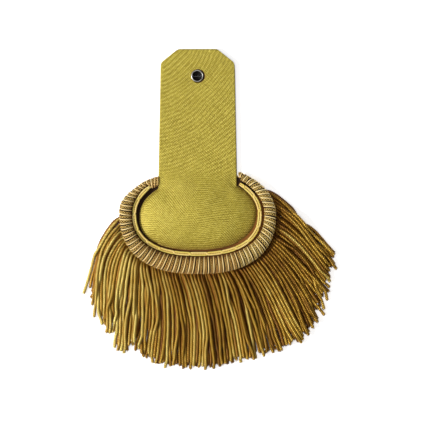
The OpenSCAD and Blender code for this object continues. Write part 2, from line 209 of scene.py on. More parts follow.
# ------------------------------------------------------------------ materials
class Nodes:
    """Short calls for building a node material."""

    def __init__(self, name):
        self.mat = bpy.data.materials.new(name)
        self.mat.use_nodes = True
        self.tree = self.mat.node_tree
        self.bsdf = self.tree.nodes["Principled BSDF"]

    def add(self, kind, **values):
        n = self.tree.nodes.new(kind)
        for k, v in values.items():
            if hasattr(n, k):
                setattr(n, k, v)
            else:
                n.inputs[k.replace("_", " ")].default_value = v
        return n

    def link(self, a, b):
        self.tree.links.new(a, b)

    def coords(self, scale=1000.0, rotate=0.0, stretch=(1, 1, 1)):
        tc = self.add("ShaderNodeTexCoord")
        m = self.add("ShaderNodeMapping")
        m.inputs["Scale"].default_value = [scale * s for s in stretch]
        m.inputs["Rotation"].default_value = (0, 0, rotate)
        self.link(tc.outputs["Object"], m.inputs["Vector"])
        return m.outputs["Vector"]

    def uv(self, stretch=(1, 1, 1)):
        u = self.add("ShaderNodeUVMap", uv_map="lay")
        m = self.add("ShaderNodeMapping")
        m.inputs["Scale"].default_value = stretch
        self.link(u.outputs["UV"], m.inputs["Vector"])
        return m.outputs["Vector"]

    def noise(self, vector, scale, detail=3.0, rough=0.55):
        n = self.add("ShaderNodeTexNoise")
        n.inputs["Scale"].default_value = scale
        n.inputs["Detail"].default_value = detail
        n.inputs["Roughness"].default_value = rough
        self.link(vector, n.inputs["Vector"])
        return n.outputs["Fac"]

    def wave(self, vector, scale, distortion=0.0, detail_scale=1.0, direction="X"):
        n = self.add("ShaderNodeTexWave", wave_type="BANDS", bands_direction=direction, wave_profile="SIN")
        n.inputs["Scale"].default_value = scale
        n.inputs["Distortion"].default_value = distortion
        n.inputs["Detail"].default_value = 1.0
        n.inputs["Detail Scale"].default_value = detail_scale
        self.link(vector, n.inputs["Vector"])
        return n.outputs["Fac"]

    def math(self, op, a, b=None, c=None, clamp=False):
        n = self.add("ShaderNodeMath", operation=op, use_clamp=clamp)
        for i, v in enumerate((a, b, c)):
            if v is None:
                continue
            if isinstance(v, (int, float)):
                n.inputs[i].default_value = v
            else:
                self.link(v, n.inputs[i])
        return n.outputs[0]

    def ramp(self, fac, stops):
        n = self.add("ShaderNodeValToRGB")
        e = n.color_ramp.elements
        while len(e) < len(stops):
            e.new(0.5)
        for item, (pos, col) in zip(e, stops):
            item.position = pos
            item.color = (*col, 1.0)
        self.link(fac, n.inputs["Fac"])
        return n.outputs["Color"]

    def mix(self, fac, a, b, blend="MIX"):
        n = self.add("ShaderNodeMix", data_type="RGBA", blend_type=blend)
        for s, v in ((0, fac), (6, a), (7, b)):
            if isinstance(v, (int, float)):
                n.inputs[s].default_value = v
            elif isinstance(v, tuple):
                n.inputs[s].default_value = (*v, 1.0)
            else:
                self.link(v, n.inputs[s])
        return n.outputs[2]

    def bump(self, height, strength, distance, after=None):
        n = self.add("ShaderNodeBump")
        n.inputs["Strength"].default_value = strength
        n.inputs["Distance"].default_value = distance
        self.link(height, n.inputs["Height"])
        if after is not None:
            self.link(after, n.inputs["Normal"])
        return n.outputs["Normal"]

    def finish(self, colour, rough, normal=None, **fixed):
        self.link(colour, self.bsdf.inputs["Base Color"])
        if isinstance(rough, (int, float)):
            self.bsdf.inputs["Roughness"].default_value = rough
        else:
            self.link(rough, self.bsdf.inputs["Roughness"])
        if normal is not None:
            self.link(normal, self.bsdf.inputs["Normal"])
        for k, v in fixed.items():
            self.bsdf.inputs[k.replace("_", " ")].default_value = v
        return self.mat


def srgb(r, g, b):
    """A linear colour from 0 to 255 display values."""
    return tuple((c / 255 / 12.92) if c / 255 <= 0.04045 else ((c / 255 + 0.055) / 1.055) ** 2.4 for c in (r, g, b))


def fixed_wave(n, u, v, turns, pitch):
    """A sine, 0 to 1, of turns * u + v / pitch."""
    phase = n.math("MULTIPLY_ADD", v, 1.0 / pitch, n.math("MULTIPLY", u, float(turns)))
    return n.math("MULTIPLY_ADD", n.math("SINE", n.math("MULTIPLY", phase, 2 * math.pi)), 0.5, 0.5)


def twill_material():
    """Woven gold lace: small cells in diagonal bands, with chevrons on the pad."""
    n = Nodes("gold_twill")
    mm = n.coords()
    bend = n.add("ShaderNodeTexNoise")
    bend.inputs["Scale"].default_value = 0.028
    bend.inputs["Detail"].default_value = 1.0
    n.link(mm, bend.inputs["Vector"])
    warp = n.add("ShaderNodeVectorMath", operation="SCALE")
    n.link(bend.outputs["Color"], warp.inputs[0])
    warp.inputs["Scale"].default_value = 9.0
    bent = n.add("ShaderNodeVectorMath", operation="ADD")
    n.link(mm, bent.inputs[0])
    n.link(warp.outputs["Vector"], bent.inputs[1])
    xyz = n.add("ShaderNodeSeparateXYZ")
    n.link(bent.outputs["Vector"], xyz.inputs[0])
    x, y = xyz.outputs["X"], xyz.outputs["Y"]

    def stripe(angle, pitch):
        a = math.radians(angle)
        along = n.math("MULTIPLY", x, math.sin(a) / pitch)
        phase = n.math("MULTIPLY_ADD", y, -math.cos(a) / pitch, along)
        return n.math("MULTIPLY_ADD", n.math("SINE", n.math("MULTIPLY", phase, 2 * math.pi)), 0.5, 0.5)

    rise, fall = stripe(49, 1.34), stripe(-46, 1.30)
    cells = n.math("MULTIPLY", rise, fall)
    place = n.add("ShaderNodeSeparateXYZ")
    n.link(mm, place.inputs[0])
    on_pad = n.add("ShaderNodeMapRange", interpolation_type="SMOOTHSTEP")
    on_pad.inputs["From Min"].default_value = -66.0
    on_pad.inputs["From Max"].default_value = -84.0
    n.link(place.outputs["Y"], on_pad.inputs["Value"])
    side = n.noise(n.coords(stretch=(1.0, 0.35, 1.0)), 0.07, 1.0)
    side = n.math("MULTIPLY_ADD", n.math("SUBTRACT", side, 0.5), 9.0, 0.5, clamp=True)
    rib = stripe(4, 1.5)
    stroke = n.noise(n.coords(rotate=math.radians(38), stretch=(0.55, 1.9, 1.0)), 0.75, 2.0)
    chevron = n.math("ADD", n.math("MULTIPLY", rib, side), n.math("MULTIPLY", fall, n.math("SUBTRACT", 1.0, side)))
    wavy = n.wave(n.coords(rotate=math.radians(-62)), 0.055, 5.0, 0.22, "X")
    away = n.add("ShaderNodeVectorMath", operation="DISTANCE")
    n.link(bent.outputs["Vector"], away.inputs[0])
    away.inputs[1].default_value = (-44.0, 50.0, 4.1)
    arcs = n.math("SINE", n.math("MULTIPLY", away.outputs["Value"], 2 * math.pi / 2.75))
    fleck = n.noise(n.coords(rotate=math.radians(-50), stretch=(1.5, 0.8, 1.0)), 1.15, 2.0)
    plain = n.math("MULTIPLY", cells, 0.62)
    plain = n.math("ADD", plain, n.math("MULTIPLY_ADD", arcs, n.math("MULTIPLY", fleck, 0.27), 0.08))
    plain = n.math("ADD", plain, n.math("MULTIPLY_ADD", fleck, 1.35, -0.55))
    padded = n.math("ADD", n.math("MULTIPLY", chevron, 0.46), n.math("MULTIPLY", cells, 0.30))
    padded = n.math("ADD", padded, n.math("MULTIPLY_ADD", stroke, 0.85, -0.36))
    pad_share = on_pad.outputs["Result"]
    h = n.math("ADD", n.math("MULTIPLY", padded, pad_share), n.math("MULTIPLY", plain, n.math("SUBTRACT", 1.0, pad_share)))
    grain = n.noise(mm, 0.9, 2.0)
    h = n.math("ADD", h, n.math("MULTIPLY", grain, 0.75))
    cloud = n.noise(mm, 0.05, 3.0)
    colour = n.ramp(
        n.math("MULTIPLY", h, 0.62),
        [(0.22, srgb(136, 118, 26)), (0.48, srgb(186, 168, 56)), (0.80, srgb(234, 220, 112))],
    )
    tone = n.ramp(cloud, [(0.3, (0.93, 0.92, 0.88)), (0.7, (1.0, 1.0, 1.0))])
    colour = n.mix(1.0, colour, tone, "MULTIPLY")
    # painted shade: the cloth is darkened to brown where the mesh's painted shade attribute is high
    groove = n.add("ShaderNodeAttribute", attribute_name="groove", attribute_type="GEOMETRY").outputs["Fac"]
    deep = n.mix(1.0, colour, (0.42, 0.26, 0.16), "MULTIPLY")
    colour = n.mix(groove, colour, deep)
    normal = n.bump(h, 0.6, 0.0003)
    rough = n.math("ADD", 0.46, n.math("MULTIPLY", grain, 0.2))
    return n.finish(colour, rough, normal, Sheen_Weight=0.1, Sheen_Roughness=0.5, Specular_IOR_Level=0.4, Metallic=0.3)


def felt_material(name, dark, light, weave=0.7, warm=None):
    n = Nodes(name)
    mm = n.coords()
    w1 = n.wave(n.coords(), weave, 0.6, 1.0, "X")
    w2 = n.wave(n.coords(), weave, 0.6, 1.0, "Y")
    grain = n.noise(mm, 1.2, 4.0)
    h = n.math("ADD", n.math("MULTIPLY", n.math("MULTIPLY", w1, w2), 0.6), n.math("MULTIPLY", grain, 0.6))
    colour = n.ramp(h, [(0.2, dark), (0.8, light)])
    lint = n.noise(mm, 0.35, 5.0, 0.7)
    colour = n.mix(n.math("MULTIPLY", n.math("SUBTRACT", lint, 0.55, clamp=True), 0.6), colour, srgb(96, 84, 66))
    if warm is not None:
        # painted light: the board lightens to brown on the pad's right and front, for light falling into the gap and
        # thrown back warm
        at = n.add("ShaderNodeSeparateXYZ")
        n.link(mm, at.inputs[0])
        east = n.math("MULTIPLY_ADD", at.outputs["X"], 1 / 34.0, -4 / 34.0, clamp=True)
        front = n.math("MULTIPLY_ADD", at.outputs["Y"], -1 / 9.0, -119 / 9.0, clamp=True)
        low = n.math("MULTIPLY_ADD", at.outputs["Y"], -1 / 5.0, -86 / 5.0, clamp=True)
        share = n.math("MAXIMUM", n.math("MULTIPLY", east, low), n.math("MULTIPLY", front, 0.45))
        colour = n.mix(share, colour, warm)
    normal = n.bump(h, 0.5, 0.0003)
    return n.finish(colour, 0.9, normal, Sheen_Weight=0.1, Specular_IOR_Level=0.2)


def cord_material(name, dark, mid, light, rough=0.42, metal=0.0, turns=3, pitch=0.62, depth=0.00016, sheen=0.05):
    """Twisted silky cord. The UV runs round the cord and, in mm, along it."""
    n = Nodes(name)
    uv = n.add("ShaderNodeUVMap", uv_map="lay")
    part = n.add("ShaderNodeSeparateXYZ")
    n.link(uv.outputs["UV"], part.inputs[0])
    wound = fixed_wave(n, part.outputs["X"], part.outputs["Y"], turns, pitch)
    fibre = n.noise(n.uv((14.0, 0.9, 1.0)), 1.0, 2.0)
    mm = n.coords()
    patch = n.noise(mm, 0.10, 3.0)
    tint = n.add("ShaderNodeAttribute", attribute_name="tint", attribute_type="GEOMETRY").outputs["Fac"]
    # painted shade: the cord is darkened to deep brown where the mesh's painted shade attribute is high
    groove = n.add("ShaderNodeAttribute", attribute_name="groove", attribute_type="GEOMETRY").outputs["Fac"]
    f = n.math("ADD", n.math("MULTIPLY", fibre, 0.3), n.math("MULTIPLY", patch, 0.4))
    f = n.math("ADD", f, n.math("MULTIPLY", tint, 0.2))
    f = n.math("ADD", f, n.math("MULTIPLY", wound, 0.08))
    colour = n.ramp(f, [(0.10, dark), (0.38, mid), (0.62, light)])
    deep = n.mix(1.0, colour, (0.36, 0.22, 0.065), "MULTIPLY")
    colour = n.mix(groove, colour, deep)
    h = n.math("ADD", n.math("MULTIPLY", wound, 0.7), n.math("MULTIPLY", fibre, 0.4))
    normal = n.bump(h, 0.5, depth)
    r = n.math("ADD", rough, n.math("MULTIPLY", fibre, 0.18))
    return n.finish(colour, r, normal, Sheen_Weight=sheen, Specular_IOR_Level=0.4, Metallic=metal)


def gimp_material(name, dark, light, rough, metal, pitch=0.5):
    n = Nodes(name)
    uv = n.add("ShaderNodeUVMap", uv_map="lay")
    part = n.add("ShaderNodeSeparateXYZ")
    n.link(uv.outputs["UV"], part.inputs[0])
    coil = fixed_wave(n, part.outputs["X"], part.outputs["Y"], 1, pitch)
    mm = n.coords()
    patch = n.noise(mm, 0.16, 3.0)
    speck = n.noise(mm, 1.1, 2.0)
    tint = n.add("ShaderNodeAttribute", attribute_name="tint", attribute_type="GEOMETRY").outputs["Fac"]
    # painted shade: wire and thread are darkened where the mesh's painted shade attribute is high
    groove = n.add("ShaderNodeAttribute", attribute_name="groove", attribute_type="GEOMETRY").outputs["Fac"]
    f = n.math("ADD", n.math("MULTIPLY", patch, 0.5), n.math("MULTIPLY", speck, 0.35))
    f = n.math("ADD", f, n.math("MULTIPLY", tint, 0.15))
    colour = n.ramp(f, [(0.25, dark), (0.68, light)])
    deep = n.mix(1.0, colour, (0.17, 0.075, 0.015), "MULTIPLY")
    colour = n.mix(groove, colour, deep)
    normal = n.bump(coil, 0.2, 0.0001)
    r = n.math("ADD", rough, n.math("MULTIPLY", speck, 0.15))
    return n.finish(colour, r, normal, Metallic=metal, Specular_IOR_Level=0.5)


def metal_material():
    n = Nodes("nickel_eyelet")
    mm = n.coords()
    spin = n.noise(n.coords(stretch=(1.0, 1.0, 6.0)), 1.5, 4.0)
    dull = n.noise(mm, 0.5, 3.0)
    colour = n.ramp(dull, [(0.3, (0.30, 0.29, 0.27)), (0.7, (0.55, 0.54, 0.51))])
    normal = n.bump(spin, 0.15, 0.0001)
    rough = n.math("ADD", 0.2, n.math("MULTIPLY", dull, 0.25))
    return n.finish(colour, rough, normal, Metallic=1.0)


def floor_material():
    n = Nodes("pale_floor")
    grain = n.noise(n.coords(), 0.02, 2.0)
    colour = n.ramp(grain, [(0.0, (0.93, 0.93, 0.93)), (1.0, (0.95, 0.95, 0.95))])
    # a light table: the floor glows a little by itself
    n.bsdf.inputs["Emission Color"].default_value = (1, 1, 1, 1)
    n.bsdf.inputs["Emission Strength"].default_value = 0.6
    return n.finish(colour, 0.9, None, Specular_IOR_Level=0.1)


TWILL = twill_material()
# the lining's near black is its own colour and also painted shade for the dark down the eyelet's hole
LINING = felt_material("lining_cloth", srgb(11, 10, 9), srgb(27, 24, 22))
# the board's dark brown is partly its own colour and partly painted shade in the gap between pad and cord
MARGIN = felt_material("base_board", srgb(34, 19, 8), srgb(60, 38, 17), warm=srgb(138, 88, 36))
FRINGE = cord_material("fringe_cord", srgb(142, 99, 30), srgb(206, 167, 60), srgb(252, 236, 138), 0.30, 0.6, sheen=0.0)
EDGE_A = cord_material("edge_cord_yellow", srgb(192, 158, 56), srgb(232, 207, 98), srgb(252, 237, 150), 0.42, 0.0, 2, 0.7)
EDGE_B = cord_material("edge_cord_cream", srgb(204, 164, 78), srgb(244, 214, 122), srgb(255, 240, 164), 0.42, 0.0, 2, 0.7)
WELT = cord_material("edge_cord_welt", srgb(110, 62, 14), srgb(160, 100, 34), srgb(196, 140, 64), 0.6, 0.0, 2, 1.1)
WIRE = gimp_material("gimp_wire", srgb(252, 206, 124), srgb(255, 234, 168), 0.42, 0.15)
PURL = gimp_material("gimp_purl", srgb(246, 178, 82), srgb(255, 219, 124), 0.45, 0.3)
CORE = felt_material("roll_core", srgb(34, 18, 3), srgb(56, 34, 8))
NICKEL = metal_material()


# ------------------------------------------------------------------ strap and pad
def strap_half(y):
    k = np.clip((y - NECK_Y) / (END_Y - CORNER_Y - NECK_Y), 0, 1)
    return NECK_HALF + (END_HALF - NECK_HALF) * k


def pad_half(y):
    d = np.abs(y - CY)
    n, b = np.where(y >= CY, 2.0, LOW_N), np.where(y >= CY, PAD_B, PAD_BL)
    return PAD_A * np.maximum(1 - np.minimum(d / b, 1) ** n, 0) ** (1 / n)


def pad_mid(y):
    return PX + PAD_LEAN * (y - CY)


def pad_level(x, y):
    return level(x - pad_mid(y), y - CY, PAD_A, PAD_B, PAD_BL)


def pad_z(x, y):
    s = np.minimum(1, pad_level(x, y))
    return MARGIN_TOP - 0.2 + PAD_RIM * np.sqrt(1 - s**8) + PAD_DOME * (1 - s * s) ** 1.2


def strap_z(x, y):
    e = strap_half(y) - np.abs(x - SX)
    d = EDGE_R - np.sqrt(np.maximum(0, EDGE_R**2 - (EDGE_R - np.clip(e, 0, EDGE_R)) ** 2))
    return STRAP_TOP - np.where(e >= EDGE_R, 0, d)


def ramp_z(x, y):
    """Padding that runs out under the strap."""
    s = np.minimum(1, np.sqrt(((x - PX) / PAD_A) ** 2 + ((y - CY) / (PAD_B + RAMP_L)) ** 2))
    return STRAP_TOP + (MARGIN_TOP - 0.2 + PAD_RIM + PAD_DOME - STRAP_TOP) * (1 - s * s) ** 2


def cloth_z(x, y):
    zs, zp = strap_z(x, y), pad_z(x, y)
    share = ease((y - CY - 2) / 14) * ease((strap_half(y) - np.abs(x - SX)) / 8)
    zr = zp * (1 - share) + ramp_z(x, y) * share
    k = 0.9 * ease((CY + PAD_B + RAMP_L - y) / 12) * ease((strap_half(y) - np.abs(x - SX)) / 6) + 0.01
    both = (zs + zr + np.sqrt((zs - zr) ** 2 + k * k)) / 2
    out = np.abs(x - SX) > strap_half(y) + 0.01
    return np.where(out, zp, np.where(y > CY + PAD_B + RAMP_L, zs, both))


def soft_ripple(x, y):
    """Small unevenness of cloth stretched over padding."""
    return 0.10 * np.sin(0.21 * x + 0.9) * np.sin(0.17 * y + 0.4) + 0.06 * np.sin(0.43 * x - 0.31 * y)


def make_strap():
    s = Shape()
    end = [(0.0, 13.8, 1.0), (0.12, 14.3, 0.55), (0.35, 14.9, 0.25), (0.7, 15.5, 0.08), (1.5, 14.7 + 1.5 * 1.262, 0.0)]
    rows = [(END_Y - d, SX - w, SX + w, low) for d, w, low in end]
    for d in np.linspace(2.5, CORNER_Y - 1.6, 7):
        w = 14.7 + d * 1.262
        rows.append((END_Y - d, SX - w, SX + w, 0.0))
    for d, cut in ((CORNER_Y - 0.9, 1.25), (CORNER_Y - 0.1, 0.62), (CORNER_Y + 0.8, 0.2), (CORNER_Y + 2.0, 0.0)):
        w = END_HALF - cut
        rows.append((END_Y - d, SX - w, SX + w, 0.0))
    for y in np.linspace(END_Y - CORNER_Y - 3.5, CY + PAD_B + 0.8, 84):
        w = float(strap_half(y))
        rows.append((y, SX - w, SX + w, 0.0))
    for j in range(76):
        q = math.sin(math.radians(90 - (j + 0.5) * 179 / 76.5))
        y = CY + q * (PAD_B if q > 0 else PAD_BL)
        w, m = max(float(pad_half(np.array(y))), 1.0), float(pad_mid(y))
        l, r = m - w, m + w
        if y > CY:  # rounded neck
            sh = float(strap_half(y))
            l = 0.5 * (l + SX - sh - math.sqrt((l - SX + sh) ** 2 + 0.6))
            r = 0.5 * (r + SX + sh + math.sqrt((r - SX - sh) ** 2 + 0.6))
        rows.append((y, l, r, 0.0))
    across = 34
    v = np.sin(np.radians(90 * np.arange(-across, across + 1) / across))
    rings, shade = [], []
    for y, left, right, low in rows:
        c, w = (left + right) / 2, (right - left) / 2
        x = c + w * v
        z = cloth_z(x, np.full_like(x, y)) - low
        e = np.minimum(1, (w - np.abs(x - c)) / 3.0)
        z = z + soft_ripple(x, y) * ease(e) * ease((END_Y - y) / 4)
        # the cut corners are folded edges too
        if y > END_Y - CORNER_Y:
            d = w - np.abs(x - c)
            z = z - np.where(d < 1.0, EDGE_R * (1 - np.sqrt(np.clip(1 - (1 - d) ** 2, 0, 1))), 0)
        z = np.maximum(z, 2.95)
        top = np.stack([x, np.full_like(x, y), z], -1)
        zr, zl = z[-1], z[0]
        wall_r = [[c + w + 0.05, y, 0.6 * zr + 0.4 * 2.75], [c + w, y, 2.85], [c + w - 0.5, y, 2.72]]
        wall_l = [[c - w + 0.5, y, 2.72], [c - w, y, 2.85], [c - w - 0.05, y, 0.6 * zl + 0.4 * 2.75]]
        if w < 1.5:
            wall_r[2][0], wall_l[0][0] = c + w * 0.5, c - w * 0.5
        rings.append(np.concatenate([top, wall_r, wall_l]))
        # painted shade: cloth turned under at the edges is in its own shade, and the pad is darker towards its right
        # and front, away from the light
        s_at = pad_level(x, np.full_like(x, y))
        off = np.where(np.abs(x - SX) > strap_half(y) - 1.0, 1.0, ease((CY + 12 - y) / 10)) * (y < CY + PAD_B)
        west = ease(-(x - PX) / PAD_A * 2 - 1)
        east = ease((x - PX) / PAD_A * 2 - 0.7)
        south = ease(-(y - CY) / PAD_BL * 1.6 - 0.3)
        g = (0.46 - 0.21 * west - 0.26 * east) * ease((s_at - 0.90) / 0.10)
        g = g + (0.25 * south * (1 - 0.6 * west) + 0.13 * east) * ease((s_at - 0.62) / 0.34)
        shade.append(np.concatenate([np.minimum(g, 1) * off, np.full(6, 0.9)]))
    rings = np.array(rings)[:, ::-1]
    s.tube(rings, length_along(rings[:, across]), 0.0, groove=np.array(shade)[:, ::-1])
    o = s.build("strap_cloth", TWILL, ["strap"])
    # the eyelet's hole
    cutter = Shape()
    ang = np.arange(64) * 2 * np.pi / 64
    # cut by hand, larger than the eyelet on its right, where the dark board shows as a crescent: partly painted shadow
    # of the raised eyelet
    r, off = 4.95, (0.72, -0.05)
    c = np.array([[[off[0] + r * math.cos(a), off[1] + r * math.sin(a), z] for a in ang] for z in (-1.0, 8.0)])
    cutter.tube(c, np.array([0.0, 9.0]))
    me = bpy.data.meshes.new("cutter")
    v = np.concatenate(cutter.v) * MM
    faces = [tuple(f) for f in np.concatenate(cutter.q)] + [tuple(f) for f in np.concatenate(cutter.t)]
    me.from_pydata(v.tolist(), [], faces)
    tool = bpy.data.objects.new("cutter", me)
    bpy.context.scene.collection.objects.link(tool)
    mod = o.modifiers.new("hole", "BOOLEAN")
    mod.operation, mod.solver, mod.object = "DIFFERENCE", "EXACT", tool
    dg = bpy.context.evaluated_depsgraph_get()
    done = bpy.data.meshes.new_from_object(o.evaluated_get(dg))
    o.modifiers.clear()
    o.data = done
    bpy.data.objects.remove(tool)
    co = np.zeros(len(done.vertices) * 3, np.float32)
    done.vertices.foreach_get("co", co)
    co = co.reshape(-1, 3) / MM
    g = np.zeros(len(done.vertices), np.float32)
    done.attributes["groove"].data.foreach_get("value", g)
    # painted shadow: the cloth at the cut and round its rim is given full painted shade
    d = np.hypot(co[:, 0] - off[0], co[:, 1] - off[1])
    g = np.where(d < r + 0.02, 1.0, g)
    done.attributes["groove"].data.foreach_set("value", g.astype(np.float32))
    return o


def slab_rings(outline, steps):
    """Outlines pulled in by each step's inset, at its height."""
    t = np.roll(outline, -1, 0) - np.roll(outline, 1, 0)
    nrm = unit(np.stack([t[:, 1], -t[:, 0]], -1))
    x, y = outline.T
    if np.sum(x * np.roll(y, -1) - y * np.roll(x, -1)) < 0:
        nrm = -nrm
    return np.array([np.column_stack([outline - nrm * inset, np.full(len(outline), z)]) for inset, z in steps])


# ------------------------------------------------------------------ eyelet
def make_eyelet():
    prof = [(3.6, 1.2), (3.6, 2.2), (3.6, 3.4), (3.6, 4.2)]
    prof += [(4.1 + 0.5 * math.cos(math.radians(a)), 4.35 + 0.5 * math.sin(math.radians(a))) for a in range(170, -61, -12)]
    prof += [(4.2, 3.95), (4.02, 3.6), (4.0, 1.6), (4.9, 1.6), (4.9, 1.22), (4.4, 1.2)]
    ang = np.arange(96) * 2 * np.pi / 96
    rings = []
    for r, z in prof:
        k = 1 + 0.006 * np.sin(5 * ang + 1.0) * (z > 4.2)  # the curl is not quite even
        rings.append(np.stack([r * k * np.cos(ang), r * k * np.sin(ang), np.full(96, z)], -1))
    rings.append(rings[0])
    s = Shape()
    s.tube(np.array(rings)[:, ::-1], np.arange(len(rings), dtype=float), 0.0, caps=False)
    return s.build("eyelet_ring", NICKEL, ["eyelet"])


# ------------------------------------------------------------------ edge cord
def make_edge_cord():
    """A yellow and a cream strand side by side, which cross every 11.6 mm."""
    t = np.linspace(CORD_FROM - 4, CORD_TO, 700)
    line = oval(t, CORD_A, CORD_B, CORD_B) + [CX, CY]
    path = np.column_stack([line, np.full(len(line), MARGIN_TOP + 0.1 + CORD_RISE + CORD_D / 2)])
    s_all = length_along(path)
    n = int(s_all[-1] / 0.2)
    at = np.linspace(0, s_all[-1], n)
    path = np.stack([np.interp(at, s_all, path[:, k]) for k in range(3)], -1)
    # both ends dip, one under the roll's end and one under the strap's edge
    dip = np.clip(1 - np.minimum(at, at[-1] - at) / 7.0, 0, 1)
    path[:, 2] -= 1.2 * dip**2
    _, side, up = frames(path)
    k = at / 11.6 + 0.27 + 0.08 * np.sin(at * 0.11)
    turn = np.pi * (np.floor(k) + ease((k - np.floor(k) - 0.5) / 0.26 + 0.5)) + 0.12 * np.sin(at * 0.23 + 1.0)
    thin = 1 - 0.35 * dip**2
    mid = [path + side * ((0.74 * np.cos(a)) * thin)[:, None] + up * (0.26 * np.sin(a) * thin)[:, None] for a in (turn, turn + math.pi)]
    made = []
    for ply, (name, mat) in enumerate((("edge_cord_yellow", EDGE_A), ("edge_cord_cream", EDGE_B))):
        bead = 0.5 + 0.5 * np.cos(2 * np.pi * at / 0.95 + ply * 2.0)
        r = (0.80 + 0.04 * bead) * thin
        rings = tube_rings(mid[ply], r, 12, phase=at * 0.5)
        out = (rings - mid[ply][:, None]) / r[:, None, None]
        facing = np.sum(out * unit(mid[1 - ply] - mid[ply])[:, None], -1)
        # painted shade: dark specks along the line where the strands touch, and the strands' undersides darkened
        speck = 0.5 + 0.5 * np.cos(2 * np.pi * at / 1.3 + 0.7 * np.sin(at * 0.7))[:, None]
        groove = ease((facing - 0.30) / 0.35) * (0.30 + 0.70 * ease((speck - 0.3) / 0.4)) + 0.6 * ease((-out[..., 2] - 0.1) / 0.8)
        # the outer flanks are in shade too
        groove = groove + 0.45 * ease((-facing - 0.45) / 0.5)
        # where one strand lies over the other both are in the light
        groove = groove * (1 - 0.75 * ease(np.abs(np.sin(turn)) * 2 - 0.6))[:, None]
        s = Shape()
        s.tube(rings, at, 0.1, groove=np.clip(groove, 0, 1))
        made.append(s.build(name, mat, ["edge_cord"]))
    # the brown welt that lifts the cord: in shadow on the left
    s = Shape()
    flat = np.stack([np.cos(np.arange(10) * 0.2 * np.pi), np.sin(np.arange(10) * 0.2 * np.pi)], -1)
    low = 1.36 - 0.45 * dip**2
    foot = path * [1, 1, 0] + [0, 0, MARGIN_TOP + 0.06]
    wob = 1.0 + 0.04 * np.sin(at * 2.9)
    welt = foot[:, None] + side[:, None] * (1.34 * wob[:, None, None] * flat[None, :, :1]) + up[:, None] * (low[:, None, None] * (flat[None, :, 1:] - 1))
    dark = 1 - 0.75 * np.maximum(ease((path[:, 0] + 5) / 45), 0.95 * ease((CY - 17 - path[:, 1]) / 10))
    s.tube(welt, at, -1.0, groove=np.repeat(dark[:, None], 10, 1))
    # painted shade: the core under the strands is in full shade
    core = path[:, None] + side[:, None] * (1.1 * flat[None, :, :1]) + up[:, None] * (0.5 * flat[None, :, 1:] + 0.5)
    s.tube(core, at, -1.0, groove=1.0)
    made.append(s.build("edge_cord_welt", WELT, ["edge_cord"]))
    return made


# ------------------------------------------------------------------ bullion roll
def roll_out(t):
    extra = END_EXTRA * ease((t - 372) / 16) - 0.8 * ease((136 - t) / 14)
    # the windings swell a little on the left
    swell = 0.9 * np.exp(-(((t - 170) / 16) ** 2)) - 0.6 * np.exp(-(((t - 144) / 10) ** 2))
    return oval(t, OUT_A + swell, OUT_BU + extra + swell, OUT_BL + swell) + [RX, CY]


def roll_in(t):
    d = np.maximum(np.abs(t - 270) - 105, 0)
    lag = np.sign(270 - t) * 7.2 * (d / 43.6) ** 2
    return oval(t + lag, IN_A, IN_B - 6.7 * ease((136 - t) / 9), IN_B) + [RX, CY]


def roll_share(u):
    left = np.interp(u, [0, 0.004, 0.010], [0.86, 0.97, 1.0])
    return np.minimum(left, np.interp(1 - u, [0, 0.004], [0.93, 1.0]))


def roll_section(u):
    """Middle, half width vector and half height of the roll's section."""
    t = 270 + HALF_TURN * (2 * u - 1) - 0.9 * ease((0.03 - u) / 0.03) + 0.8 * ease((u - 0.97) / 0.03)
    o, i = roll_out(t), roll_in(t)
    c, w = (o + i) / 2, (o - i) / 2
    # both ends are pressed flatter
    flat = np.minimum(np.interp(u, [0, 0.02, 0.06], [0.42, 0.62, 1.0]), np.interp(1 - u, [0, 0.02, 0.05], [0.6, 0.8, 1.0]))
    h = np.linalg.norm(w, axis=-1) * ROLL_FLAT * flat
    return c, w, h


def roll_point(u, a, inset):
    """A point of the roll's surface, inset by some mm."""
    c, w, h = roll_section(u)
    s = roll_share(u)
    hw = np.linalg.norm(w, axis=-1)
    kw = np.maximum(hw * s - inset, 0.2) / hw
    kh = np.maximum(h * s - inset, 0.2)
    return np.column_stack([c + w * (kw * np.cos(a))[:, None], ROLL_Z + h + kh * np.sin(a)])


U_FINE = np.linspace(0, 1, 4001)
ROLL_LEN = length_along(roll_section(U_FINE)[0])
PERIOD = 3.65
TURNS = int((ROLL_LEN[-1] + 5.2) / PERIOD)


